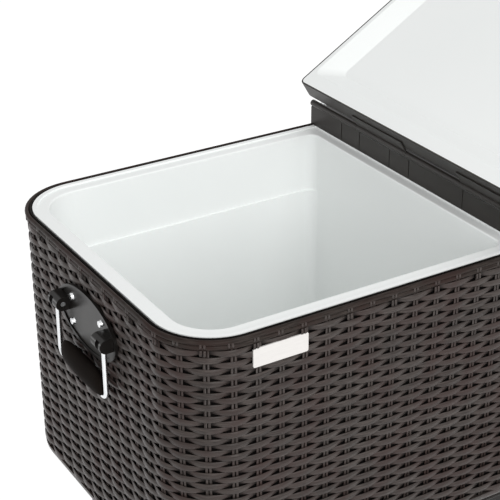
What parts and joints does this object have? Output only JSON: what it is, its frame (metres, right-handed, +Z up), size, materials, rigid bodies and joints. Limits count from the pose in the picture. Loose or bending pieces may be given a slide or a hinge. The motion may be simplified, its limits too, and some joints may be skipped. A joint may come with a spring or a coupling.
{
  "type": "wicker cooler cart",
  "caption": "Rolling patio cooler: woven box on a tube stand with casters, insulated bays under lids hinged on a middle bar, drop handles, drains and a bottle opener with a cap catcher.",
  "frame": {"origin": "on the floor under the middle of the woven box", "axes": "+Z up, front with the opener towards -Y, the open lid on the left at -X"},
  "size_m": [0.922, 0.4698, 1.1115],
  "materials": {
    "resin_wicker": "woven flat strands, dark brown, satin",
    "dark_painted_steel": "fine textured dark brown paint",
    "white_plastic": "moulded, semi gloss white",
    "foam": "rigid insulation foam, hidden",
    "zinc_steel": "zinc plated, bright",
    "opener_iron": "dark bronze coat, satin",
    "dark_steel_sheet": "dark brown paint on folded sheet",
    "black_plastic": "moulded black, fine grain",
    "grey_hub_plastic": "moulded grey",
    "caster_rubber": "matte black rubber",
    "badge_white": "bare white plate, satin"
  },
  "bodies": {
    "root": {"wicker_shell": "resin_wicker", "left_base_panel": "zinc_steel", "right_base_panel": "zinc_steel", "wall_foam": "foam", "left_tub_liner": "white_plastic", "right_tub_liner": "white_plastic", "hinge_crossbar": "dark_painted_steel", "crossbar_screws": "zinc_steel", "badge_plate": "badge_white", "handle_screws": "zinc_steel", "bottle_opener": "opener_iron", "catcher_hanger": "dark_steel_sheet", "opener_screws": "zinc_steel", "drain_fittings": "white_plastic", "drain_seals": "caster_rubber", "drain_nuts": "white_plastic", "tube_caps": "black_plastic", "frame_bolts": "zinc_steel", "wire_shelf": "dark_painted_steel", "shelf_clips": "zinc_steel", "caster_sockets": "black_plastic", "left_hinge_rod": "zinc_steel", "right_hinge_rod": "zinc_steel", "left_handle_bracket": "black_plastic", "right_handle_bracket": "black_plastic", "left_leg_frame": "dark_painted_steel", "right_leg_frame": "dark_painted_steel", "front_stretcher": "dark_painted_steel", "back_stretcher": "dark_painted_steel"},
    "left_lid": {"left_lid_top": "dark_painted_steel", "left_lid_liner": "white_plastic", "left_lid_foam": "foam"},
    "left_handle": {"left_handle_bail": "zinc_steel", "left_handle_grip": "black_plastic"},
    "left_cap": {"left_drain_cap": "white_plastic"},
    "right_lid": {"right_lid_top": "dark_painted_steel", "right_lid_liner": "white_plastic", "right_lid_foam": "foam"},
    "right_handle": {"right_handle_bail": "zinc_steel", "right_handle_grip": "black_plastic"},
    "right_cap": {"right_drain_cap": "white_plastic"},
    "catcher": {"cap_catcher": "dark_steel_sheet"},
    "front_left_fork": {"front_left_caster_fork": "zinc_steel", "front_left_caster_axle": "zinc_steel"},
    "front_left_wheel": {"front_left_caster_tyre": "caster_rubber", "front_left_caster_hub": "grey_hub_plastic"},
    "front_left_brake": {"front_left_brake_lever": "black_plastic"},
    "front_right_fork": {"front_right_caster_fork": "zinc_steel", "front_right_caster_axle": "zinc_steel"},
    "front_right_wheel": {"front_right_caster_tyre": "caster_rubber", "front_right_caster_hub": "grey_hub_plastic"},
    "front_right_brake": {"front_right_brake_lever": "black_plastic"},
    "back_left_fork": {"back_left_caster_fork": "zinc_steel", "back_left_caster_axle": "zinc_steel"},
    "back_left_wheel": {"back_left_caster_tyre": "caster_rubber", "back_left_caster_hub": "grey_hub_plastic"},
    "back_right_fork": {"back_right_caster_fork": "zinc_steel", "back_right_caster_axle": "zinc_steel"},
    "back_right_wheel": {"back_right_caster_tyre": "caster_rubber", "back_right_caster_hub": "grey_hub_plastic"}
  },
  "joints": [
    {"name": "left_lid_hinge", "type": "hinge", "parent": "root", "child": "left_lid", "pos_m": [-0.029, 0, 0.8725], "axis": [0, 1, 0], "range_deg": [-149, 0]},
    {"name": "left_handle_swing", "type": "hinge", "parent": "root", "child": "left_handle", "pos_m": [-0.452, 0, 0.779], "axis": [0, 1, 0], "range_deg": [0, 90]},
    {"name": "left_cap_turn", "type": "hinge", "parent": "root", "child": "left_cap", "pos_m": [-0.22725, 0.105, 0.4967], "axis": [0, 0, -1], "range_deg": [0, 720]},
    {"name": "right_lid_hinge", "type": "hinge", "parent": "root", "child": "right_lid", "pos_m": [0.029, 0, 0.8725], "axis": [0, -1, 0], "range_deg": [0, 32]},
    {"name": "right_handle_swing", "type": "hinge", "parent": "root", "child": "right_handle", "pos_m": [0.452, 0, 0.779], "axis": [0, -1, 0], "range_deg": [0, 90]},
    {"name": "right_cap_turn", "type": "hinge", "parent": "root", "child": "right_cap", "pos_m": [0.22725, 0.105, 0.4967], "axis": [0, 0, -1], "range_deg": [0, 720]},
    {"name": "catcher_lift", "type": "slide", "parent": "root", "child": "catcher", "axis": [0, 0, 1], "range_m": [0, 0.02]},
    {"name": "front_left_swivel", "type": "hinge", "parent": "root", "child": "front_left_fork", "pos_m": [-0.3625, -0.165, 0.08], "axis": [0, 0, 1], "continuous": true},
    {"name": "front_left_wheel_spin", "type": "hinge", "parent": "front_left_fork", "child": "front_left_wheel", "pos_m": [-0.3625, -0.182, 0.025], "axis": [1, 0, 0], "continuous": true},
    {"name": "front_left_brake_press", "type": "hinge", "parent": "front_left_fork", "child": "front_left_brake", "pos_m": [-0.3625, -0.202, 0.049], "axis": [1, 0, 0], "range_deg": [0, 10]},
    {"name": "front_right_swivel", "type": "hinge", "parent": "root", "child": "front_right_fork", "pos_m": [0.3625, -0.165, 0.08], "axis": [0, 0, 1], "continuous": true},
    {"name": "front_right_wheel_spin", "type": "hinge", "parent": "front_right_fork", "child": "front_right_wheel", "pos_m": [0.3625, -0.182, 0.025], "axis": [1, 0, 0], "continuous": true},
    {"name": "front_right_brake_press", "type": "hinge", "parent": "front_right_fork", "child": "front_right_brake", "pos_m": [0.3625, -0.202, 0.049], "axis": [1, 0, 0], "range_deg": [0, 10]},
    {"name": "back_left_swivel", "type": "hinge", "parent": "root", "child": "back_left_fork", "pos_m": [-0.3625, 0.165, 0.08], "axis": [0, 0, 1], "continuous": true},
    {"name": "back_left_wheel_spin", "type": "hinge", "parent": "back_left_fork", "child": "back_left_wheel", "pos_m": [-0.3625, 0.182, 0.025], "axis": [1, 0, 0], "continuous": true},
    {"name": "back_right_swivel", "type": "hinge", "parent": "root", "child": "back_right_fork", "pos_m": [0.3625, 0.165, 0.08], "axis": [0, 0, 1], "continuous": true},
    {"name": "back_right_wheel_spin", "type": "hinge", "parent": "back_right_fork", "child": "back_right_wheel", "pos_m": [0.3625, 0.182, 0.025], "axis": [1, 0, 0], "continuous": true}
  ]
}
